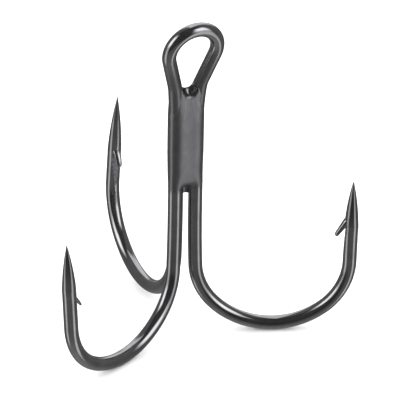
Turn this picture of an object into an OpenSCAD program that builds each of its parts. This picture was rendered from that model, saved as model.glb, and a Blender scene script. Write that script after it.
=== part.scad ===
// Treble hook: one long wire bent into an eye and two front hooks, a second
// wire bent into the rear hook, and the braze that joins the three shanks.
// +Z runs up the shank, +Y points to the rear hook, and the origin is the
// centre of the eye's hole.

/* [Wire] */
// Diameter of the steel wire of all three hooks
wire_d = 1.5; // [1.3:0.05:1.6]
// Diameter left at the very tip of each point
tip_d = 0.04; // [0.02:0.01:0.1]

/* [Shank] */
// Distance between the centre lines of the two front legs
leg_spacing = 2.4; // [2.2:0.05:2.8]
// Distance from the front legs' plane back to the rear leg's centre line
rear_offset = 2.08; // [1.9:0.02:2.4]
// Straight length of the front legs, from the eye's neck to the bends
shank_len = 10.1; // [8:0.1:16]

/* [Eye] */
// Clear width of the eye's hole
eye_hole = 4; // [3.6:0.05:5]
// Angle between each side of the eye and its middle line
eye_taper = 17.5; // [14:0.5:22]
// Forward lean of the eye, away from the rear hook
eye_lean = 14.5; // [8:0.5:18]

/* [Hooks] */
// Radius of the long, shallow curve where a leg leaves the shank
splay_r = 178; // [150:1:220]
// Angle turned in that shallow curve
splay_turn = 2.1; // [1.5:0.1:3]
// Radius of the heel, the first part of the round bend
heel_r = 7; // [6:0.05:8]
// Angle turned in the heel
heel_turn = 41.7; // [38:0.1:45]
// Radius of the bottom of the bend
bottom_r = 8.85; // [8:0.05:10]
// Angle turned in the bottom of the bend, on the right hook
bottom_turn = 82; // [79:0.1:86]
// Radius of the throat, the last part of the bend
throat_r = 7.05; // [6:0.05:8]
// Angle turned in the throat
throat_turn = 53.4; // [50:0.1:56]
// Swing of each front hook out of the eye's plane, away from the rear hook
front_swing = 23.3; // [18:0.1:30]

/* [Points] */
// Straight length from the throat to the tip, on the left hook
point_leg = 10.05; // [9:0.05:12]
// Length of the tapered point
point_len = 5.3; // [4:0.1:6]
// Length of a barb, from its root to its end
barb_len = 2; // [1.4:0.1:2.4]
// Angle between a barb and the wire it is cut from
barb_angle = 32; // [24:1:40]
// Width of a barb across the wire
barb_w = 0.8; // [0.5:0.05:1]
// Length of the shallow scoop under a barb
scoop_len = 4.2; // [3:0.1:4.6]
// Depth of that scoop
scoop_depth = 0.2; // [0.1:0.02:0.25]

/* [Braze] */
// Length of the brazed stretch of the shank
braze_len = 11.9; // [8:0.1:12.4]
// How far the braze stands proud of a line through two wires' centres
braze_rise = 0.45; // [0.2:0.05:0.55]
// Depth of the dimple in the top of the braze
dimple_depth = 0.5; // [0.2:0.05:0.8]

/* [Hidden] */
$fn = 48;
wire_r = wire_d / 2;
seam_t = 0.01;
seam_len = 0.1;

// The front legs' plane and the rear leg stand either side of the shank's
// centre, which is the middle of the triangle that the three wires make.
front_y = -rear_offset / 3;
rear_y = rear_offset * 2 / 3;

// The neck bends each front leg out and forward into the side of the eye.
// Both of its bends lie in one upright plane, neck_turn off the X axis.
neck_lean = acos(cos(eye_taper) * cos(eye_lean));
neck_turn = atan2(cos(eye_taper) * sin(eye_lean), sin(eye_taper));
flare_r = 30;
flare_turn = 8;
collar_r = 4;
collar_turn = neck_lean - flare_turn;
neck_out = flare_r * (1 - cos(flare_turn))
    + collar_r * (cos(flare_turn) - cos(neck_lean));
neck_up = flare_r * sin(flare_turn)
    + collar_r * (sin(neck_lean) - sin(flare_turn));
neck_x = leg_spacing / 2 + neck_out * cos(neck_turn);
neck_y = front_y - neck_out * sin(neck_turn);

// The eye's straight sides run from the neck to its round top.
eye_r = (eye_hole + wire_d) / 2;
side_len = (eye_r * cos(eye_taper) - neck_x) / sin(eye_taper);
eye_rise = side_len * cos(eye_taper) + eye_r * sin(eye_taper);

// The eye's centre, measured from the top of the straight shank.
eye_y = neck_y - eye_rise * sin(eye_lean);
eye_z = neck_up + eye_rise * cos(eye_lean);

// Each hook was made a little differently: the angle its bend turns beyond
// bottom_turn, its point leg's length, and how far its barb starts below the
// tapered point.
right_hook = [0, point_leg - 0.45, 0];
left_hook = [-3.3, point_leg, 1.15];
rear_hook = [7, point_leg + 0.65, 1.35];

// The rear leg ends inside the braze, and its bend starts higher.
braze_top = 3.8;
rear_top = 2.5;
rear_heel_rise = 0.55;
rear_side_turn = -2.4;
rear_leg_len = rear_top + shank_len - rear_heel_rise;

scoop_r = (pow(scoop_len / 2, 2) + pow(scoop_depth, 2)) / (2 * scoop_depth);
// The point swells to its shoulder, and tapers more slowly from there.
shoulder_from_tip = point_len * 0.4;
shoulder_r = wire_r * 0.57;
barb_root_t = 0.4;
barb_end_t = 0.2;

// A round bend that starts at the origin along +Z and turns towards +X.
module bend(radius, turn) {
    translate([radius, 0, 0])
        rotate([90, 0, 180])
            rotate_extrude(angle = turn)
                translate([radius, 0])
                    circle(d = wire_d);
}

// A hair-thin collar that makes one solid of two stretches of wire.
module seam() {
    cylinder(d = wire_d + seam_t, h = seam_len, center = true);
}

// Moves its children to the far end of a straight or a bend.
module step_end(radius, amount) {
    turn = radius == 0 ? 0 : amount;
    rise = radius == 0 ? amount : radius * sin(amount);
    translate([radius * (1 - cos(turn)), 0, rise])
        rotate([0, turn, 0])
            children();
}

// Wire laid from the origin along +Z. A step is [0, length] for a straight
// and [radius, angle] for a bend towards +X. Children go on its far end.
module wire_run(steps, i = 0) {
    if (i < len(steps)) {
        radius = steps[i][0];
        amount = steps[i][1];
        if (radius == 0)
            cylinder(d = wire_d, h = amount);
        else
            bend(radius, amount);
        step_end(radius, amount) {
            seam();
            wire_run(steps, i + 1)
                children();
        }
    } else {
        children();
    }
}

// A barb cut up from the inner side of the wire, its root at z = 0.
module barb() {
    along = [sin(barb_angle), -cos(barb_angle)];
    across = [cos(barb_angle), sin(barb_angle)];
    root = [wire_r - 0.2, 0];
    end = root + barb_len * along;
    rotate([90, 0, 0])
        linear_extrude(height = barb_w, center = true)
            polygon([
                root - along * 0.3 - across * barb_root_t / 2,
                end - across * barb_end_t / 2,
                end + along * barb_end_t / 2,
                end + across * barb_end_t / 2,
                root - along * 0.3 + across * barb_root_t / 2
            ]);
}

// The tapered point, fuller than a plain cone.
module point() {
    rotate_extrude()
        polygon([
            [0, 0],
            [wire_r, 0],
            [shoulder_r, point_len - shoulder_from_tip],
            [tip_d / 2, point_len],
            [0, point_len]
        ]);
}

// The last straight stretch of a hook: scooped wire, barb and point.
module point_end(leg_len, barb_drop) {
    straight = leg_len - point_len;
    difference() {
        cylinder(d = wire_d, h = straight);
        translate([wire_r + scoop_r - scoop_depth, 0, straight - barb_drop - scoop_len / 2])
            rotate([90, 0, 0])
                cylinder(r = scoop_r, h = 2 * wire_d, center = true, $fn = 180);
    }
    translate([0, 0, straight]) {
        seam();
        point();
        translate([0, 0, -barb_drop])
            barb();
    }
}

// One hook below its leg: it starts straight down and bends towards +X.
module hook(leg_len, form) {
    rotate([180, 0, 0])
        wire_run([
            [0, leg_len],
            [splay_r, splay_turn],
            [heel_r, heel_turn],
            [bottom_r, bottom_turn + form[0]],
            [throat_r, throat_turn]
        ])
            point_end(form[1], form[2]);
}

// The neck of one front leg, from the straight shank to the eye's side.
module neck() {
    seam();
    rotate([0, 0, -neck_turn])
        wire_run([[flare_r, flare_turn], [collar_r, collar_turn]]);
}

// The eye above its necks, in its own plane and leaning forward.
module eye() {
    translate([0, neck_y, neck_up])
        rotate([eye_lean, 0, 0]) {
            for (side = [0, 1])
                mirror([side, 0, 0])
                    translate([neck_x, 0, 0])
                        rotate([0, eye_taper, 0])
                            wire_run([[0, side_len]]);
            translate([0, 0, eye_rise])
                rotate([90, eye_taper, 0])
                    rotate_extrude(angle = 180 + 2 * eye_taper)
                        translate([eye_r, 0])
                            circle(d = wire_d);
        }
}

module eye_and_front_hooks_wire() {
    color("#5b5b5e")
        at_eye() {
            eye();
            for (side = [0, 1])
                mirror([side, 0, 0])
                    translate([leg_spacing / 2, front_y, 0])
                        neck();
            translate([leg_spacing / 2, front_y, 0])
                rotate([0, 0, -front_swing])
                    hook(shank_len, right_hook);
            translate([-leg_spacing / 2, front_y, 0])
                rotate([0, 0, 180 + front_swing])
                    hook(shank_len, left_hook);
        }
}

module rear_hook_wire() {
    color("#535356")
        at_eye()
            translate([0, rear_y, rear_top])
                rotate([0, 0, 90 + rear_side_turn])
                    hook(rear_leg_len, rear_hook);
}

// The wires as they pass through the braze, to cut their grooves in it.
module brazed_wires() {
    for (side = [0, 1])
        mirror([side, 0, 0])
            translate([leg_spacing / 2, front_y, 0]) {
                neck();
                translate([0, 0, -braze_len])
                    cylinder(d = wire_d, h = braze_len);
            }
    translate([0, rear_y, rear_top - 2 * braze_len])
        cylinder(d = wire_d, h = 2 * braze_len);
}

// Outline of the braze: each flat runs from wire to wire, braze_rise proud
// of the line through their centres, and ends inside both wires.
module braze_outline() {
    side_angle = atan2(rear_offset, leg_spacing / 2);
    side_out = [sin(side_angle), cos(side_angle)] * braze_rise;
    corner_in = 0.15;
    half = [
        [leg_spacing / 2 + corner_in, front_y - braze_rise],
        [leg_spacing / 2, front_y] + side_out,
        [0, rear_y] + side_out
    ];
    polygon(concat(half, [for (i = [2:-1:0]) [-half[i].x, half[i].y]]));
}

module braze() {
    dimple_r = 0.8;
    color("#6d6d70")
        at_eye()
            difference() {
                translate([0, 0, braze_top - braze_len])
                    linear_extrude(height = braze_len)
                        braze_outline();
                brazed_wires();
                translate([0, front_y / 2, braze_top + dimple_r - dimple_depth])
                    sphere(r = dimple_r);
            }
}

// Moves the whole hook so that the centre of the eye is the origin.
module at_eye() {
    translate([0, -eye_y, -eye_z])
        children();
}

eye_and_front_hooks_wire();
rear_hook_wire();
braze();
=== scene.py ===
"""Looks of a treble hook: black nickel plated wire hooks round a brazed shank."""
from collections import namedtuple
from math import acos, atan2, ceil, cos, pi, radians, sin, sqrt

import bmesh
import bpy
import numpy as np
from bpy.props import FloatProperty, IntProperty, PointerProperty, StringProperty
from bpy.types import Operator, Panel, PropertyGroup
from mathutils import Matrix, Vector


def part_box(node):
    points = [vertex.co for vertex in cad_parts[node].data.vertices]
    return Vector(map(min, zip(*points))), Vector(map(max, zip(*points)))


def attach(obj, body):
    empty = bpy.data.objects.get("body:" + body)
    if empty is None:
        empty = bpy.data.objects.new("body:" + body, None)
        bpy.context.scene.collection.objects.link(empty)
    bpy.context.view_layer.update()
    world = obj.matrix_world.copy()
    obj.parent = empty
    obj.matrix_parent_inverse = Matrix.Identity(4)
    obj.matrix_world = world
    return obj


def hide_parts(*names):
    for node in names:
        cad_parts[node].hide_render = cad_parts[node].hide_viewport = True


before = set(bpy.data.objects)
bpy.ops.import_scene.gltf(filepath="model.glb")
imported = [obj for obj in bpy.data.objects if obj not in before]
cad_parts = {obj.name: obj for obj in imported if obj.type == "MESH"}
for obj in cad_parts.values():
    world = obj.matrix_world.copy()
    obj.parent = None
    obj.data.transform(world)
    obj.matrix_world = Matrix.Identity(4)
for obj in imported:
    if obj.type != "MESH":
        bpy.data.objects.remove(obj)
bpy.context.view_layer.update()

BODY = "root"
MM = 0.001
UP = np.array([0.0, 0.0, 1.0])

bl_info = {
    "name": "Treble Hook",
    "version": (1, 0, 0),
    "blender": (4, 5, 0),
    "location": "View3D > Sidebar > Treble Hook",
    "description": "Builds the plated wire hooks and the braze of a treble fishing hook",
    "category": "Object",
}


# Sizes and colours -------------------------------------------------------------------------------

def length(name, description, millimetres):
    return FloatProperty(name=name, description=description, default=millimetres * MM,
                         subtype="DISTANCE", unit="LENGTH")


def angle(name, description, in_degrees):
    return FloatProperty(name=name, description=description, default=radians(in_degrees),
                         subtype="ANGLE", unit="ROTATION")


def factor(name, description, default):
    return FloatProperty(name=name, description=description, default=default, min=0.0, max=1.0,
                         subtype="FACTOR")


def colour(name, description, default):
    return StringProperty(name=name, description=description + ", as an sRGB hex value", default=default)


class WireSettings(PropertyGroup):
    diameter: length("Wire diameter", "Diameter of the steel wire of all three hooks", 1.5)
    leg_spacing: length("Leg spacing", "Distance between the centre lines of the front legs", 2.4)
    rear_offset: length("Rear offset", "Distance from the front legs' plane to the rear leg", 2.08)
    shank: length("Shank length", "Straight length of the front legs", 10.1)
    sides: IntProperty(name="Sides", description="Faces around the wire", default=72, min=24)


class EyeSettings(PropertyGroup):
    hole: length("Hole", "Clear width of the eye's hole", 4)
    taper: angle("Taper", "Angle between each side of the eye and its middle line", 17.5)
    lean: angle("Lean", "Forward lean of the eye, away from the rear hook", 14.5)
    flare_radius: length("Flare radius", "Radius where a leg starts to leave the shank", 30)
    flare_turn: angle("Flare turn", "Angle turned in the flare", 8)
    collar_radius: length("Collar radius", "Radius of the bend into the side of the eye", 4)


class BendSettings(PropertyGroup):
    splay_radius: length("Splay radius", "Radius of the shallow curve below the shank", 178)
    splay_turn: angle("Splay turn", "Angle turned in the shallow curve", 2.1)
    heel_radius: length("Heel radius", "Radius of the first part of the round bend", 7)
    heel_turn: angle("Heel turn", "Angle turned in the heel", 41.7)
    bottom_radius: length("Bottom radius", "Radius of the bottom of the bend", 8.85)
    bottom_turn: angle("Bottom turn", "Angle turned in the bottom of the right hook's bend", 82)
    throat_radius: length("Throat radius", "Radius of the last part of the round bend", 7.05)
    throat_turn: angle("Throat turn", "Angle turned in the throat", 53.4)
    front_swing: angle("Front swing", "Swing of each front hook out of the eye's plane", 23.3)
    rear_turn: angle("Rear turn", "Turn of the rear hook off the middle plane", -2.4)
    rear_heel_rise: length("Rear heel rise", "How far the rear bend starts above the others", 0.55)


class PointSettings(PropertyGroup):
    leg: length("Point leg", "Straight length from the throat to the tip on the left hook", 10.05)
    taper: length("Point length", "Length of the ground point", 5.3)
    tip: length("Tip diameter", "Diameter left at the very tip", 0.04)
    barb: length("Barb length", "Length of a barb from root to end", 1.95)
    barb_angle: angle("Barb angle", "Angle between a barb and its wire", 33)
    barb_width: length("Barb width", "Width of a barb across the wire", 0.84)
    barb_thickness: length("Barb thickness", "Thickness of a barb at its root", 0.4)
    scoop: length("Scoop length", "Length of the flat that the barb was cut from", 4.4)
    scoop_depth: length("Scoop depth", "Depth of that flat under the barb", 0.24)


class BrazeSettings(PropertyGroup):
    length: length("Length", "Length of the brazed stretch of the shank", 11.9)
    top: length("Top", "Height of the braze above the straight shank", 3.8)
    rear_top: length("Rear top", "Height of the rear wire's end above the straight shank", 2.5)
    fillet: length("Fillet radius", "Radius of the faint hollow between two wires", 40)
    film: length("Film", "Thickness of the braze that clings to the wires", 0.12)
    ridge: length("Ridge", "Height of the web between the necks above the shelf", 0.5)
    dimple: length("Dimple depth", "Depth of the dimple in front of the web", 0.3)


class FinishSettings(PropertyGroup):
    nickel: colour("Nickel", "Colour of the black nickel on the wire", "#a1a1a3")
    satin: colour("Braze nickel", "Colour of the black nickel on the braze", "#7e7e80")
    cut_steel: colour("Cut flats", "Colour of the plated tool marks", "#8d8d90")
    gloss: factor("Wire roughness", "Roughness of the plated wire", 0.12)
    satin_gloss: factor("Braze roughness", "Roughness of the plated braze", 0.36)


class StageSettings(PropertyGroup):
    azimuth: angle("Azimuth", "Turn of the camera about the shank", 27.443)
    elevation: angle("Elevation", "How far the camera looks down", 27.067)
    roll: angle("Roll", "Lean of the camera", -0.993)
    distance: length("Distance", "From the camera to the point it looks at", 419.9)
    aim_right: length("Aim right", "Aim point to the right of the eye's centre", 0.953)
    aim_up: length("Aim up", "Aim point above the eye's centre", -15.295)
    lens: FloatProperty(name="Lens", description="Focal length in millimetres", default=367.63)
    floor_side: length("Floor side", "Side of the square floor", 6000)
    floor_colour: colour("Floor", "Colour of the pale floor", "#f4f4f4")


# Centre lines ------------------------------------------------------------------------------------

STRAIGHT_STEP = 0.5 * MM
BEND_STEP = 0.2 * MM
FINE_STEP = 0.06 * MM


def walk(start, heading, outward, steps):
    """Points along steps, each (radius, amount, spacing), where radius 0 is a straight.

    Returns the points and the heading and outward side at the far end.
    """
    point = np.array(start, float)
    heading = np.array(heading, float)
    outward = np.array(outward, float)
    points = [point]
    for radius, amount, spacing in steps:
        span = amount * radius if radius else amount
        share = np.linspace(0, amount, ceil(span / spacing) + 1)[1:, None]
        if radius:
            centre = point + outward * radius
            points += list(centre - outward * radius * np.cos(share) + heading * radius * np.sin(share))
            heading, outward = (heading * cos(amount) + outward * sin(amount),
                                outward * cos(amount) - heading * sin(amount))
        else:
            points += list(point + heading * share)
        point = points[-1]
    return np.array(points), heading, outward


def neck_angles(eye):
    """Lean and turn of a neck, which bends out and forward in one upright plane."""
    lean = acos(cos(eye.taper) * cos(eye.lean))
    turn = atan2(cos(eye.taper) * sin(eye.lean), sin(eye.taper))
    return lean, turn


def neck_line(side):
    """Centre line of a neck from the top of the shank, with side 1 right and -1 left."""
    wire, eye = settings("wire"), settings("eye")
    lean, turn = neck_angles(eye)
    start = (side * wire.leg_spacing / 2, -wire.rear_offset / 3, 0)
    steps = [(eye.flare_radius, eye.flare_turn, BEND_STEP),
             (eye.collar_radius, lean - eye.flare_turn, BEND_STEP)]
    return walk(start, UP, (side * cos(turn), -sin(turn), 0), steps)[0]


def eye_centre():
    """The eye's centre and its radius, measured from the top of the straight shank."""
    wire, eye = settings("wire"), settings("eye")
    neck_end = neck_line(1)[-1]
    radius = (eye.hole + wire.diameter) / 2
    side = (radius * cos(eye.taper) - neck_end[0]) / sin(eye.taper)
    rise = side * cos(eye.taper) + radius * sin(eye.taper)
    upward = np.array([0, -sin(eye.lean), cos(eye.lean)])
    return np.array([0, neck_end[1], neck_end[2]]) + upward * rise, radius, upward


def eye_line():
    """Centre line of the round top of the eye, from right to left."""
    centre, radius, upward = eye_centre()
    taper = settings("eye").taper
    turn = np.linspace(-taper, pi + taper, ceil((pi + 2 * taper) * radius / BEND_STEP))[:, None]
    return centre + radius * np.cos(turn) * np.array([1, 0, 0]) + radius * np.sin(turn) * upward


# How one hook differs from the others: the extra angle of its bend, its point leg, the length of its
# taper, how far its barb starts below the common taper, and the barb's bow and thickness.
Form = namedtuple("Form", "turn leg taper drop bow thickness")


def hook_forms():
    """The three hooks, each bent, ground and barbed a little differently."""
    point = settings("point")
    thick = point.barb_thickness
    return {
        "right": Form(turn=0, leg=point.leg - 0.45 * MM, taper=point.taper,
                      drop=-0.3 * MM, bow=0, thickness=thick * 1.45),
        "left": Form(turn=radians(-3.3), leg=point.leg, taper=point.taper,
                     drop=1.15 * MM, bow=0.04 * MM, thickness=thick * 0.55),
        "rear": Form(turn=radians(7), leg=point.leg + 0.65 * MM, taper=point.taper + 1.3 * MM,
                     drop=1.35 * MM, bow=0.15 * MM, thickness=thick * 0.6),
    }


def hook_line(start, azimuth, leg, form):
    """Centre line of one hook from its leg down to its tip, with the tip's heading and gape side."""
    bend, point = settings("bend"), settings("point")
    plain_end = 0.1 * MM
    # The fine spacing covers the point, the scoop and the lowest barb's drop.
    shaped = min(point.taper + point.scoop + 1.4 * MM, form.leg - plain_end)
    steps = [(0, leg, STRAIGHT_STEP),
             (bend.splay_radius, bend.splay_turn, BEND_STEP),
             (bend.heel_radius, bend.heel_turn, BEND_STEP),
             (bend.bottom_radius, bend.bottom_turn + form.turn, BEND_STEP),
             (bend.throat_radius, bend.throat_turn, BEND_STEP),
             (0, form.leg - shaped, BEND_STEP),
             (0, shaped, FINE_STEP)]
    return walk(start, -UP, (cos(azimuth), sin(azimuth), 0), steps)


def front_hook(side, form):
    """The right hook for side 1, the left one for side -1."""
    wire, bend = settings("wire"), settings("bend")
    start = (side * wire.leg_spacing / 2, -wire.rear_offset / 3, 0)
    azimuth = -bend.front_swing if side > 0 else pi + bend.front_swing
    return hook_line(start, azimuth, wire.shank, form)


def rear_hook(form):
    """The rear hook, whose leg ends inside the braze."""
    wire, bend, braze = settings("wire"), settings("bend"), settings("braze")
    start = (0, wire.rear_offset * 2 / 3, braze.rear_top)
    leg = braze.rear_top + wire.shank - bend.rear_heel_rise
    return hook_line(start, pi / 2 + bend.rear_turn, leg, form)


# Wire --------------------------------------------------------------------------------------------

def add_node(tree, kind, inputs=None, **properties):
    """Adds a node with its properties; an input takes a value or another node's output."""
    node = tree.nodes.new(kind)
    for name, value in properties.items():
        setattr(node, name, value)
    for name, value in (inputs or {}).items():
        if isinstance(value, bpy.types.NodeSocket):
            tree.links.new(value, node.inputs[name])
        else:
            node.inputs[name].default_value = value
    return node


def wire_tree():
    """Sweeps a round wire along a line, and keeps where each point is along and around it."""
    tree = bpy.data.node_groups.new("Round wire along a line", "GeometryNodeTree")
    inputs = {"Line": "Geometry", "Wire Radius": "Float", "Sides": "Int", "Finish": "Material"}
    for name, kind in inputs.items():
        tree.interface.new_socket(name, in_out="INPUT", socket_type="NodeSocket" + kind)
    tree.interface.new_socket("Wire", in_out="OUTPUT", socket_type="NodeSocketGeometry")
    group = add_node(tree, "NodeGroupInput").outputs
    line = add_node(tree, "GeometryNodeMeshToCurve", {"Mesh": group["Line"]})
    spline = add_node(tree, "GeometryNodeSplineParameter")
    along = add_node(tree, "GeometryNodeStoreNamedAttribute",
                     {"Geometry": line.outputs["Curve"], "Name": "along", "Value": spline.outputs["Length"]})
    circle = add_node(tree, "GeometryNodeCurvePrimitiveCircle",
                      {"Resolution": group["Sides"], "Radius": group["Wire Radius"]})
    place = add_node(tree, "GeometryNodeInputPosition")
    girth = add_node(tree, "GeometryNodeStoreNamedAttribute",
                     {"Geometry": circle.outputs["Curve"], "Name": "girth",
                      "Value": place.outputs["Position"]},
                     data_type="FLOAT_VECTOR")
    sweep = add_node(tree, "GeometryNodeCurveToMesh",
                     {"Curve": along.outputs["Geometry"], "Profile Curve": girth.outputs["Geometry"],
                      "Fill Caps": True})
    whole = add_node(tree, "GeometryNodeRealizeInstances", {"Geometry": sweep.outputs["Mesh"]})
    finish = add_node(tree, "GeometryNodeSetMaterial",
                      {"Geometry": whole.outputs["Geometry"], "Material": group["Finish"]})
    add_node(tree, "NodeGroupOutput", {"Wire": finish.outputs["Geometry"]})
    return tree


def link(name, mesh):
    """A new object in the scene, at the origin."""
    piece = bpy.data.objects.new(name, mesh)
    bpy.context.scene.collection.objects.link(piece)
    return piece


def evaluated_mesh(piece):
    """A plain mesh of the piece as its modifiers leave it."""
    graph = bpy.context.evaluated_depsgraph_get()
    return bpy.data.meshes.new_from_object(piece.evaluated_get(graph), depsgraph=graph)


def swept_wire(name, line, finish):
    """A plain wire mesh swept by Geometry Nodes along a line of points."""
    wire = settings("wire")
    path = bpy.data.meshes.new(name + "_line")
    path.from_pydata(line.tolist(), [(i, i + 1) for i in range(len(line) - 1)], [])
    piece = link(name, path)
    sweep = piece.modifiers.new("Wire", "NODES")
    sweep.node_group = wire_tree()
    sockets = {item.name: item.identifier for item in sweep.node_group.interface.items_tree}
    sweep[sockets["Wire Radius"]] = wire.diameter / 2
    sweep[sockets["Sides"]] = wire.sides
    sweep[sockets["Finish"]] = finish
    mesh = evaluated_mesh(piece)
    piece.modifiers.clear()
    piece.data = mesh
    mesh.name = name
    return piece


def lofted(name, rings):
    """A closed skin through rings of points, with a flat face on each end."""
    shell = bmesh.new()
    skin = [[shell.verts.new(place) for place in ring] for ring in rings]
    for lower, upper in zip(skin, skin[1:]):
        for i in range(len(lower)):
            j = (i + 1) % len(lower)
            shell.faces.new((lower[i], lower[j], upper[j], upper[i]))
    shell.faces.new(skin[0])
    shell.faces.new(skin[-1])
    bmesh.ops.recalc_face_normals(shell, faces=shell.faces)
    mesh = bpy.data.meshes.new(name)
    shell.to_mesh(mesh)
    shell.free()
    return mesh


def smooth_step(value, low, high):
    """Rises smoothly from 0 at low to 1 at high."""
    share = np.clip((value - low) / (high - low), 0, 1)
    return share * share * (3 - 2 * share)


# Shape of a ground point. Fullness is how far its flanks bulge beyond a plain cone. The swell at its
# root and the four faint facets are shares of the wire's radius.
FULLNESS = 0.65
SWELL = 0.022
SWELL_SPAN = 0.45 * MM
FACETS = 0.018
TIP_HOOK = 0.05 * MM
TIP_HOOK_LENGTH = 0.7 * MM
# The scoop deepens towards the barb by this power, and ends there in a short step.
SCOOP_POWER = 1.3
SCOOP_STEP = 0.3 * MM


def shape_point(piece, tip, heading, outward, form):
    """Grinds the end of the wire to a point and cuts the scooped flat that its barb came from."""
    wire, point = settings("wire"), settings("point")
    radius = wire.diameter / 2
    mesh = piece.data
    places = np.empty(len(mesh.vertices) * 3)
    mesh.vertices.foreach_get("co", places)
    places = places.reshape(-1, 3)
    rel = places - tip
    back = -rel @ heading
    radial = rel + back[:, None] * heading
    near = (back > -0.01 * MM) & (back < point.taper + form.drop + point.scoop + 0.4 * MM)
    near &= np.linalg.norm(radial, axis=1) < radius * 1.2

    share = np.clip(back / form.taper, 0, 1)
    width = np.maximum((1 + FULLNESS) * share - FULLNESS * share ** 2, point.tip / wire.diameter)
    swell = SWELL * np.exp(-((back - form.taper * 1.05) / SWELL_SPAN) ** 2)
    sideways = np.cross(heading, outward)
    turn = np.arctan2(radial @ sideways, radial @ outward)
    facets = FACETS * np.cos(4 * turn) * np.sin(share * pi)
    radial *= (width + swell * np.cos(turn + pi) + facets)[:, None]

    below = back - point.taper - form.drop
    depth = point.scoop_depth * (1 - np.clip(below / point.scoop, 0, 1)) ** SCOOP_POWER
    depth *= smooth_step(below, -0.02 * MM, SCOOP_STEP)
    inner = radial @ outward
    excess = inner - (radius - depth)
    cut = near & (below > 0) & (below < point.scoop) & (excess > 0)
    radial[cut] -= excess[cut, None] * outward

    hooked = TIP_HOOK * (1 - np.clip(back / TIP_HOOK_LENGTH, 0, 1)) ** 2
    moved = tip - back[:, None] * heading + radial - hooked[:, None] * outward
    places[near] = moved[near]
    mesh.vertices.foreach_set("co", places.ravel())
    marks = mesh.attributes.get("cut") or mesh.attributes.new("cut", "FLOAT", "POINT")
    values = np.empty(len(mesh.vertices))
    marks.data.foreach_get("value", values)
    values[cut] = 1.0
    marks.data.foreach_set("value", values)


# Shape of a barb. It starts a little below the wire's skin, and rounds off over its last part.
BARB_SINK = 0.22 * MM
BARB_ROUND_FROM = 0.8
BARB_ROUND = 0.2
BARB_HOLLOW = 0.1 * MM


def barb_mesh(tip, heading, outward, form):
    """A closed sliver cut up from the wire, thinner and rounded at its free end."""
    wire, point = settings("wire"), settings("point")
    along = outward * sin(point.barb_angle) - heading * cos(point.barb_angle)
    away = outward * cos(point.barb_angle) + heading * sin(point.barb_angle)
    sideways = np.cross(heading, outward)
    start = tip - heading * (point.taper + form.drop) + outward * (wire.diameter / 2 - BARB_SINK)
    turn = np.linspace(0, 2 * pi, 40, endpoint=False)
    # A rounded rectangle: the powers below 1 square up the circle.
    section = np.stack([np.sign(np.cos(turn)) * np.abs(np.cos(turn)) ** 0.7,
                        np.sign(np.sin(turn)) * np.abs(np.sin(turn)) ** 0.8])
    straight_shares = np.linspace(-0.12, BARB_ROUND_FROM, 24)
    round_shares = BARB_ROUND_FROM + BARB_ROUND * np.sin(np.linspace(0.1, 1.52, 12))
    rings = []
    for share in np.concatenate([straight_shares, round_shares]):
        centre = start + along * point.barb * share + away * form.bow * 4 * share * (1 - share)
        rounding = sqrt(max(1 - (max(share - BARB_ROUND_FROM, 0) / BARB_ROUND) ** 2, 0.002))
        thick = form.thickness / 2 * (1.15 - 0.5 * max(share, 0)) * rounding
        wide = point.barb_width / 2 * (1 - 0.35 * max(share, 0)) * rounding
        hollow = BARB_HOLLOW * (1 - np.sin(turn) ** 2)
        rings.append(centre + np.outer(section[0] * thick, away) + np.outer(section[1] * wide, sideways)
                     + np.outer(hollow * rounding, away))
    return lofted("barb", rings)


def fuse_barb(piece, *barb_form):
    """Joins a barb to its wire as one closed skin."""
    barb = link("barb", barb_mesh(*barb_form))
    barb.data.materials.append(piece.data.materials[0])
    union = piece.modifiers.new("Barb", "BOOLEAN")
    union.operation = "UNION"
    union.solver = "EXACT"
    union.object = barb
    mesh = evaluated_mesh(piece)
    piece.modifiers.clear()
    piece.data = mesh
    bpy.data.objects.remove(barb)


SHARP_ANGLE = radians(38)


def finish_wire(piece, hooks, node):
    """Points and barbs on a wire, whose places are measured from the eye's centre."""
    centre = eye_centre()[0]
    for line, heading, outward, form in hooks:
        shape_point(piece, line[-1] - centre, heading, outward, form)
    for line, heading, outward, form in hooks:
        fuse_barb(piece, line[-1] - centre, heading, outward, form)
    piece.data.name = piece.name
    piece.data.shade_smooth()
    piece.data.set_sharp_from_angle(angle=SHARP_ANGLE)
    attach(piece, BODY)
    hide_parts(node)


# Braze -------------------------------------------------------------------------------------------

def braze_outline(turns, wires, wire_radius, fillet):
    """Distance from the shank's middle to the skin of the braze in each direction.

    The skin wraps each wire, and a hollow arc that touches both runs from wire to wire.
    """
    ray = np.stack([np.cos(turns), np.sin(turns)], axis=1)
    reach = np.zeros(len(turns))
    for centre in wires:
        ahead = ray @ centre
        room = wire_radius ** 2 - centre @ centre + ahead ** 2
        reach = np.where(room > 0, np.maximum(reach, ahead + np.sqrt(np.maximum(room, 0))), reach)
    for first, second in zip(wires, np.roll(wires, -1, axis=0)):
        middle = (first + second) / 2
        half = np.linalg.norm(second - first) / 2
        outward = np.array([second[1] - first[1], first[0] - second[0]]) / (2 * half)
        if outward @ middle < 0:
            outward = -outward
        radius = max(fillet, 1.02 * half - wire_radius)
        hub = middle + outward * sqrt((radius + wire_radius) ** 2 - half ** 2)
        touch = [hub + (end - hub) * radius / (radius + wire_radius) for end in (first, second)]
        base = atan2(outward[1], outward[0])
        swings = [(atan2(t[1], t[0]) - base + pi) % (2 * pi) - pi for t in touch]
        swing = (turns - base + pi) % (2 * pi) - pi
        ahead = ray @ hub
        room = radius ** 2 - hub @ hub + ahead ** 2
        arc = ahead - np.sqrt(np.maximum(room, 0))
        inside = (swing > min(swings)) & (swing < max(swings)) & (room > 0)
        reach = np.where(inside, arc, reach)
    return reach


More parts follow.
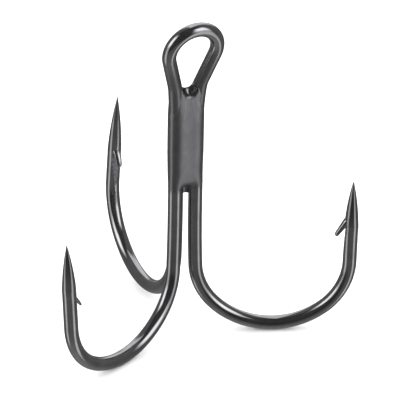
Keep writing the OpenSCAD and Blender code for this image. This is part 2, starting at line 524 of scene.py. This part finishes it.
def wires_at(height):
    """Where the three wires' centre lines are at a height above the straight shank."""
    wire = settings("wire")
    neck = neck_line(1)
    x = np.interp(max(height, 0), neck[:, 2], neck[:, 0])
    y = np.interp(max(height, 0), neck[:, 2], neck[:, 1])
    return np.array([[-x, y], [x, y], [0, wire.rear_offset * 2 / 3]])


def braze_top_height(places):
    """Height of the braze's top: a shelf with a dimple, a web between the necks, and a low back."""
    wire, braze = settings("wire"), settings("braze")
    x, y = places[..., 0], places[..., 1]
    front_y = -wire.rear_offset / 3
    web = np.exp(-((y - front_y - 0.02 * MM) / (0.36 * MM)) ** 2)
    low_back = smooth_step(y, front_y + 0.1 * MM, front_y + 1.1 * MM)
    shelf_y = front_y - 0.45 * MM
    pit = np.exp(-(x / (0.3 * MM)) ** 2 - ((y - shelf_y) / (0.32 * MM)) ** 2)
    level = braze.top + (braze.rear_top + 0.2 * MM - braze.top) * low_back
    level = level - 0.7 * MM * smooth_step(y, 0.6 * MM, 2.3 * MM)
    climb = 0.25 * MM * np.minimum(np.abs(x) / (0.62 * MM), 1.5) ** 3 * (1 - low_back)
    return level + climb + braze.ridge * web - braze.dimple * pit


# The skin is smoothed round the shank over this many samples to each side.
SMOOTHING = 32
# The top edge rolls over within this height, and draws in by this share of its width.
ROLL_HEIGHT = 0.6 * MM
ROLL_INSET = 0.17
# Rise of the hollow under the braze's lower end.
ARCH_RISE = 0.9 * MM


def braze_reaches(levels, turns):
    """How far the skin stands from the shank's middle, by level and by direction.

    At the lower end the braze only clings to the wires, and its hollows fill in as it rises.
    """
    wire, braze = settings("wire"), settings("braze")
    bottom = braze.top - braze.length
    spread = np.arange(-SMOOTHING, SMOOTHING + 1)
    reaches = []
    for level in levels:
        rise = (level - bottom) / MM
        run_out = min(rise / 2.6, 1)
        thins_out = smooth_step(level, braze.top - 3 * MM, braze.top - 0.6 * MM)
        clings = min(rise / 5, 1) * (1 - thins_out)
        film = braze.film * clings - 0.03 * MM * (1 - min(rise / 0.6, 1)) - 0.02 * MM * (clings < 0.2)
        reach = braze_outline(turns, wires_at(level), wire.diameter / 2 + film,
                              braze.fillet * run_out ** 4)
        weight = np.exp(-(spread / (0.4 + 12.5 * run_out)) ** 2)
        padded = np.concatenate([reach[-SMOOTHING:], reach, reach[:SMOOTHING]])
        reaches.append(np.convolve(padded, weight / weight.sum(), mode="valid"))
    return np.array(reaches)


def braze_sides(levels, turns, ray):
    """Rings up the side of the braze, from its lower end to where its top edge rolls over."""
    braze = settings("braze")
    bottom = levels[0]
    reaches = braze_reaches(levels, turns)
    edge = np.minimum(braze_top_height(ray * reaches[-8][:, None]), braze.top + 0.3 * MM) - ROLL_HEIGHT
    share = (levels - bottom) / (levels[-1] - bottom)
    rings = []
    for row in bottom + share[:, None] * (edge - bottom):
        reach = [np.interp(row[i], levels, reaches[:, i]) for i in range(len(turns))]
        rings.append(np.column_stack([ray * np.array(reach)[:, None], row]))
    return rings, edge


def braze_crown(rim, edge):
    """Rings over the rolled top edge and in across the shaped top."""
    rings = []
    for turn in np.linspace(0, pi / 2, 8)[1:]:
        flat = rim * (1 - ROLL_INSET * (1 - cos(turn)))
        rings.append(np.column_stack([flat, edge + (braze_top_height(flat) - edge) * sin(turn)]))
    for inset in np.linspace(1, 0.03, 34)[1:]:
        flat = rim * (1 - ROLL_INSET) * inset
        rings.append(np.column_stack([flat, braze_top_height(flat)]))
    return rings


def braze_arch(lowest):
    """Rings of the hollow under the lower end, from its middle out."""
    rings = []
    for inset in np.linspace(1, 0.04, 12)[1:]:
        lifted = lowest.copy()
        lifted[:, :2] *= inset
        lifted[:, 2] += ARCH_RISE * sqrt(1 - inset ** 2)
        rings.append(lifted)
    return rings[::-1]


def braze_mesh():
    """A closed skin lofted up the shank, with an arched lower end and a shaped top."""
    braze = settings("braze")
    turns = np.linspace(0, 2 * pi, 288, endpoint=False)
    ray = np.stack([np.cos(turns), np.sin(turns)], axis=1)
    bottom = braze.top - braze.length
    # The levels are closest together at the lower end, where the skin changes fastest.
    levels = np.concatenate([bottom + 1.4 * MM * np.linspace(0, 1, 22) ** 1.4,
                             np.linspace(bottom + 1.6 * MM, braze.top + 0.4 * MM, 64)])
    sides, edge = braze_sides(levels, turns, ray)
    rings = braze_arch(sides[0]) + sides + braze_crown(sides[-1][:, :2], edge)
    mesh = lofted("braze_skin", [ring - eye_centre()[0] for ring in rings])
    mesh.shade_smooth()
    return mesh


# Finishes ----------------------------------------------------------------------------------------

def linear(hex_colour):
    """Linear RGBA of an sRGB hex colour."""
    parts = [int(hex_colour[i:i + 2], 16) / 255 for i in (1, 3, 5)]
    return [c / 12.92 if c <= 0.04045 else ((c + 0.055) / 1.055) ** 2.4 for c in parts] + [1.0]


def shaded(hex_colour, amount):
    """The linear colour of a hex value, lightened or darkened by a factor."""
    return [c * amount for c in linear(hex_colour)[:3]] + [1.0]


def new_material(name):
    """A metal with its node tree and shader."""
    material = bpy.data.materials.new(name)
    material.use_nodes = True
    shader = material.node_tree.nodes["Principled BSDF"]
    shader.inputs["Metallic"].default_value = 1.0
    return material, material.node_tree, shader


def noise(tree, vector, size, detail=2.0, roughness=0.5):
    """Noise whose blotches are about size metres across."""
    return add_node(tree, "ShaderNodeTexNoise",
                    {"Vector": vector, "Scale": 1 / size, "Detail": detail,
                     "Roughness": roughness}).outputs["Fac"]


def remap(tree, value, low, high, to_low, to_high, smooth=False):
    """The value, moved from the range low to high into the range to_low to to_high."""
    kind = "SMOOTHSTEP" if smooth else "LINEAR"
    return add_node(tree, "ShaderNodeMapRange",
                    {"Value": value, "From Min": low, "From Max": high, "To Min": to_low, "To Max": to_high},
                    interpolation_type=kind).outputs["Result"]


def mixed(tree, amount, first, second):
    """The first colour turning into the second as amount goes from 0 to 1."""
    node = add_node(tree, "ShaderNodeMix", {0: amount, 6: first, 7: second}, data_type="RGBA")
    return node.outputs[2]


def maths(tree, operation, first, second=0.0):
    return add_node(tree, "ShaderNodeMath", {0: first, 1: second}, operation=operation).outputs[0]


def black_nickel_wire():
    """Black nickel plate on drawn steel wire: a smoky mirror with faint draw lines along the wire."""
    finish = settings("finish")
    material, tree, shader = new_material("black_nickel_on_drawn_wire")
    place = add_node(tree, "ShaderNodeTexCoord").outputs["Object"]
    girth = add_node(tree, "ShaderNodeAttribute", attribute_name="girth").outputs["Vector"]
    along = add_node(tree, "ShaderNodeAttribute", attribute_name="along").outputs["Fac"]
    cut = add_node(tree, "ShaderNodeAttribute", attribute_name="cut").outputs["Fac"]
    # Draw lines are 0.12 mm wide, coarser than real ones so that they show, and 6 mm long.
    shift = add_node(tree, "ShaderNodeCombineXYZ",
                     {"Z": maths(tree, "MULTIPLY", along, 0.02)}).outputs["Vector"]
    drawn = add_node(tree, "ShaderNodeVectorMath", {0: girth, 1: shift}, operation="ADD").outputs["Vector"]
    lines = noise(tree, drawn, 0.12 * MM, 3.0)
    cloud = noise(tree, place, 1.6 * MM, 3.0, 0.6)
    grit = noise(tree, place, 0.16 * MM, 4.0, 0.7)
    tone = mixed(tree, remap(tree, cloud, 0.3, 0.7, 0, 1), shaded(finish.nickel, 0.88),
                 shaded(finish.nickel, 1.1))
    scratched = mixed(tree, remap(tree, grit, 0.35, 0.65, 0, 1), shaded(finish.cut_steel, 0.55),
                      shaded(finish.cut_steel, 1.5))
    # The braze leaves a satin bloom on the wires, from its lower end up to the sides of the eye.
    level = add_node(tree, "ShaderNodeSeparateXYZ", {"Vector": place}).outputs["Z"]
    ragged = maths(tree, "ADD", level, maths(tree, "MULTIPLY", cloud, 0.7 * MM))
    low = settings("braze").top - settings("braze").length - eye_centre()[0][2] + 1.0 * MM
    from_below = remap(tree, ragged, low - 0.25 * MM, low + 0.45 * MM, 0, 1, smooth=True)
    to_eye = remap(tree, ragged, -3.2 * MM, 0.6 * MM, 1, 0, smooth=True)
    bloom = maths(tree, "MULTIPLY", from_below, to_eye)
    bloomed = mixed(tree, bloom, tone, linear(finish.satin))
    tree.links.new(mixed(tree, cut, bloomed, scratched), shader.inputs["Base Color"])
    plain = remap(tree, lines, 0.3, 0.7, finish.gloss - 0.025, finish.gloss + 0.035)
    rough = maths(tree, "ADD", plain, maths(tree, "MULTIPLY", maths(tree, "MAXIMUM", cut, bloom), 0.24))
    tree.links.new(rough, shader.inputs["Roughness"])
    ridges = add_node(tree, "ShaderNodeBump", {"Height": lines, "Strength": 0.05, "Distance": 0.02 * MM})
    marks = add_node(tree, "ShaderNodeBump",
                     {"Height": maths(tree, "MULTIPLY", grit, cut), "Strength": 0.7, "Distance": 0.08 * MM,
                      "Normal": ridges.outputs["Normal"]})
    tree.links.new(marks.outputs["Normal"], shader.inputs["Normal"])
    return material


def satin_nickel_braze():
    """Black nickel plate on wiped braze: a satin skin with fine wipe lines that fan from the top, their
    streaks painted lighter just below the top as a painted sheen.
    """
    finish, braze = settings("finish"), settings("braze")
    material, tree, shader = new_material("black_nickel_on_wiped_braze")
    place = add_node(tree, "ShaderNodeTexCoord").outputs["Object"]
    top = braze.top - eye_centre()[0][2]
    moved = add_node(tree, "ShaderNodeMapping", {"Vector": place, "Location": (0, 0, -top)}).outputs["Vector"]
    axes = add_node(tree, "ShaderNodeSeparateXYZ", {"Vector": moved}).outputs
    below = maths(tree, "ADD", maths(tree, "MULTIPLY", axes["Z"], -1.0), 0.5 * MM)
    spread = maths(tree, "ARCTAN2", axes["X"], below)
    fan_place = add_node(tree, "ShaderNodeCombineXYZ",
                         {"X": maths(tree, "MULTIPLY", spread, 1.6 * MM),
                          "Y": maths(tree, "MULTIPLY", axes["Y"], 0.3),
                          "Z": maths(tree, "MULTIPLY", axes["Z"], 0.05)}).outputs["Vector"]
    # The wipe lines fan down from a point 0.5 mm above the braze's top. They are about 0.14 mm apart at
    # 1.6 mm from that point, coarser than real ones so that they show.
    fan = noise(tree, fan_place, 0.14 * MM, 3.0)
    fade = maths(tree, "MULTIPLY", remap(tree, axes["Z"], -4.2 * MM, -0.9 * MM, 0.1, 1.0, smooth=True),
                 remap(tree, axes["Z"], -0.5 * MM, -0.2 * MM, 1.0, 0.0, smooth=True))
    cloud = noise(tree, place, 1.1 * MM, 3.0, 0.6)
    grain = noise(tree, place, 0.1 * MM, 3.0, 0.6)
    tone = mixed(tree, remap(tree, cloud, 0.3, 0.7, 0, 1), shaded(finish.satin, 0.9),
                 shaded(finish.satin, 1.1))
    # Painted sheen: the wipe-line streaks get a lighter colour, strongest just below the top. Their relief is
    # real and comes from the bump below.
    painted_sheen_streaks = maths(tree, "MULTIPLY", remap(tree, fan, 0.35, 0.65, 0, 1), fade)
    wipe_lines_with_painted_sheen = mixed(tree, painted_sheen_streaks, tone, shaded(finish.satin, 1.35))
    tree.links.new(wipe_lines_with_painted_sheen, shader.inputs["Base Color"])
    rough = remap(tree, grain, 0.3, 0.7, finish.satin_gloss - 0.05, finish.satin_gloss + 0.06)
    pooled = remap(tree, axes["Z"], -0.5 * MM, 0.0, 0.0, 0.17, smooth=True)
    tree.links.new(maths(tree, "SUBTRACT", rough, pooled), shader.inputs["Roughness"])
    relief = maths(tree, "ADD", maths(tree, "MULTIPLY", maths(tree, "MULTIPLY", fan, fade), 0.7),
                   maths(tree, "MULTIPLY", grain, 0.25))
    bump = add_node(tree, "ShaderNodeBump", {"Height": relief, "Strength": 0.45, "Distance": 0.05 * MM})
    tree.links.new(bump.outputs["Normal"], shader.inputs["Normal"])
    return material


def matt_floor():
    """Pale matt board: even white with a trace of mottle."""
    stage = settings("stage")
    material, tree, shader = new_material("pale_matt_board")
    shader.inputs["Metallic"].default_value = 0.0
    shader.inputs["Roughness"].default_value = 0.9
    place = add_node(tree, "ShaderNodeTexCoord").outputs["Object"]
    mottle = noise(tree, place, 20 * MM)
    tone = mixed(tree, mottle, shaded(stage.floor_colour, 0.99), shaded(stage.floor_colour, 1.0))
    tree.links.new(tone, shader.inputs["Base Color"])
    return material


# Stage -------------------------------------------------------------------------------------------

def studio_world():
    """A white room that shiny metal mirrors as a studio.

    The mirrored studio has a softbox over a strip on each side, a bright backdrop and a dim front.
    """
    stage = settings("stage")
    world = bpy.data.worlds.new("studio")
    bpy.context.scene.world = world
    world.use_nodes = True
    tree = world.node_tree
    tree.nodes.clear()
    around = add_node(tree, "ShaderNodeTexCoord").outputs["Generated"]
    faced = add_node(tree, "ShaderNodeVectorRotate", {"Vector": around, "Angle": stage.azimuth},
                     rotation_type="Z_AXIS").outputs["Vector"]
    axes = add_node(tree, "ShaderNodeSeparateXYZ", {"Vector": faced}).outputs
    side = maths(tree, "ARCTAN2", axes["X"], maths(tree, "MULTIPLY", axes["Y"], -1.0))
    # The boxes and strips stand evenly about a line 4 degrees to the left of the camera.
    spread = maths(tree, "ABSOLUTE", maths(tree, "ADD", side, radians(4)))
    height = maths(tree, "ARCSINE", axes["Z"])

    def window(value, low, high, soft):
        """1 between two angles in degrees and 0 outside, with soft edges."""
        rise = remap(tree, value, radians(low - soft), radians(low + soft), 0, 1, smooth=True)
        fall = remap(tree, value, radians(high - soft), radians(high + soft), 1, 0, smooth=True)
        return maths(tree, "MULTIPLY", rise, fall)

    def layer(mask, strength, under):
        """Light of one strength where the mask is 1, added to the light under it."""
        return add_node(tree, "ShaderNodeMath", {0: mask, 1: strength, 2: under},
                        operation="MULTIPLY_ADD").outputs[0]

    boxes = maths(tree, "MULTIPLY", window(spread, 46, 82, 9), window(height, 5, 43, 9))
    strips = maths(tree, "MULTIPLY", window(spread, 50, 80, 8), window(height, -54, 6, 9))
    backdrop = maths(tree, "MULTIPLY", window(spread, 150, 200, 8), window(height, 8, 100, 8))
    beyond = remap(tree, spread, radians(75), radians(105), 0, 1, smooth=True)
    under = remap(tree, height, radians(-12), radians(-31), 0, 1, smooth=True)
    dim = maths(tree, "MAXIMUM", beyond, under)
    bounce = remap(tree, height, radians(-35), radians(-85), 0, 1)
    glow = layer(dim, 0.13, 0.05)
    glow = layer(boxes, 2.4, glow)
    glow = layer(strips, 0.9, glow)
    glow = layer(backdrop, 1.1, glow)
    glow = layer(bounce, 0.2, glow)
    reflected = add_node(tree, "ShaderNodeBackground", {"Color": (1, 1, 1, 1), "Strength": glow})
    room = add_node(tree, "ShaderNodeBackground", {"Color": (1, 1, 1, 1), "Strength": 1.9})
    glossy = add_node(tree, "ShaderNodeLightPath").outputs["Is Glossy Ray"]
    blend = add_node(tree, "ShaderNodeMixShader", {0: glossy, 1: room.outputs[0], 2: reflected.outputs[0]})
    add_node(tree, "ShaderNodeOutputWorld", {"Surface": blend.outputs[0]})


CLIP_END = 20.0


def place_camera():
    """The camera turns about the shank, looks down and rolls a little, with no shift."""
    stage = settings("stage")
    right = Vector((cos(stage.azimuth), -sin(stage.azimuth), 0))
    forward = Vector((sin(stage.azimuth) * cos(stage.elevation), cos(stage.azimuth) * cos(stage.elevation),
                      -sin(stage.elevation)))
    upward = right.cross(forward)
    aim = right * stage.aim_right + upward * stage.aim_up
    rolled_right = right * cos(stage.roll) - upward * sin(stage.roll)
    rolled_up = right * sin(stage.roll) + upward * cos(stage.roll)
    camera = bpy.data.cameras.new("camera")
    camera.lens = stage.lens
    camera.clip_end = CLIP_END
    holder = link("camera", camera)
    turn = Matrix((rolled_right, rolled_up, -forward)).transposed().to_4x4()
    holder.matrix_world = Matrix.Translation(aim - forward * stage.distance) @ turn
    bpy.context.scene.camera = holder


def floor_sheet():
    """A broad flat sheet under the lowest bend."""
    stage = settings("stage")
    half = stage.floor_side / 2
    low = min(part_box(name)[0].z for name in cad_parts)
    sheet = bmesh.new()
    bmesh.ops.create_grid(sheet, x_segments=4, y_segments=4, size=half)
    bmesh.ops.translate(sheet, verts=sheet.verts, vec=(0, 0, low))
    mesh = bpy.data.meshes.new("floor")
    sheet.to_mesh(mesh)
    sheet.free()
    mesh.materials.append(matt_floor())
    floor = link("floor", mesh)
    floor.visible_glossy = False


# Operators ---------------------------------------------------------------------------------------

class TREBLE_OT_front_wire(Operator):
    """Build the long wire: the eye and the two front hooks"""
    bl_idname = "treble.front_wire"
    bl_label = "Eye and front hooks"

    def execute(self, context):
        forms = hook_forms()
        right, left = front_hook(1, forms["right"]), front_hook(-1, forms["left"])
        line = np.concatenate([left[0][::-1], neck_line(-1)[1:], eye_line()[::-1], neck_line(1)[::-1][:-1],
                               right[0]])
        line -= eye_centre()[0]
        piece = swept_wire("front_hooks_wire", line, black_nickel_wire())
        hooks = [(*right, forms["right"]), (*left, forms["left"])]
        finish_wire(piece, hooks, "eye_and_front_hooks_wire")
        return {"FINISHED"}


class TREBLE_OT_rear_wire(Operator):
    """Build the short wire: the rear hook"""
    bl_idname = "treble.rear_wire"
    bl_label = "Rear hook"

    def execute(self, context):
        form = hook_forms()["rear"]
        rear = rear_hook(form)
        piece = swept_wire("rear_wire", rear[0] - eye_centre()[0], black_nickel_wire())
        finish_wire(piece, [(*rear, form)], "rear_hook_wire")
        return {"FINISHED"}


class TREBLE_OT_braze(Operator):
    """Build the braze that joins the three shanks"""
    bl_idname = "treble.braze"
    bl_label = "Braze"

    def execute(self, context):
        mesh = braze_mesh()
        mesh.materials.append(satin_nickel_braze())
        piece = link("braze_skin", mesh)
        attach(piece, BODY)
        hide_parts("braze")
        return {"FINISHED"}


class TREBLE_OT_stage(Operator):
    """Set out the floor, the studio light and the camera"""
    bl_idname = "treble.stage"
    bl_label = "Stage"

    def execute(self, context):
        floor_sheet()
        studio_world()
        place_camera()
        context.scene.view_settings.view_transform = "Standard"
        return {"FINISHED"}


class TREBLE_PT_panel(Panel):
    """Sizes, colours and build steps of the treble hook"""
    bl_label = "Treble Hook"
    bl_idname = "TREBLE_PT_panel"
    bl_space_type = "VIEW_3D"
    bl_region_type = "UI"
    bl_category = "Treble Hook"

    def draw(self, context):
        for name, kind in SETTINGS.items():
            box = self.layout.box()
            box.label(text=name.capitalize())
            for prop in kind.__annotations__:
                box.prop(settings(name), prop)
        for operator in OPERATORS:
            self.layout.operator(operator.bl_idname)


SETTINGS = {
    "wire": WireSettings,
    "eye": EyeSettings,
    "bend": BendSettings,
    "point": PointSettings,
    "braze": BrazeSettings,
    "finish": FinishSettings,
    "stage": StageSettings,
}
OPERATORS = (TREBLE_OT_front_wire, TREBLE_OT_rear_wire, TREBLE_OT_braze, TREBLE_OT_stage)


def settings(name):
    return getattr(bpy.context.scene, "treble_" + name)


def register():
    for name, kind in SETTINGS.items():
        bpy.utils.register_class(kind)
        setattr(bpy.types.Scene, "treble_" + name, PointerProperty(type=kind))
    for kind in (*OPERATORS, TREBLE_PT_panel):
        bpy.utils.register_class(kind)


def unregister():
    for kind in (TREBLE_PT_panel, *reversed(OPERATORS)):
        bpy.utils.unregister_class(kind)
    for name, kind in reversed(SETTINGS.items()):
        delattr(bpy.types.Scene, "treble_" + name)
        bpy.utils.unregister_class(kind)


def main():
    register()
    bpy.ops.treble.front_wire()
    bpy.ops.treble.rear_wire()
    bpy.ops.treble.braze()
    bpy.ops.treble.stage()


if __name__ == "__main__":
    main()
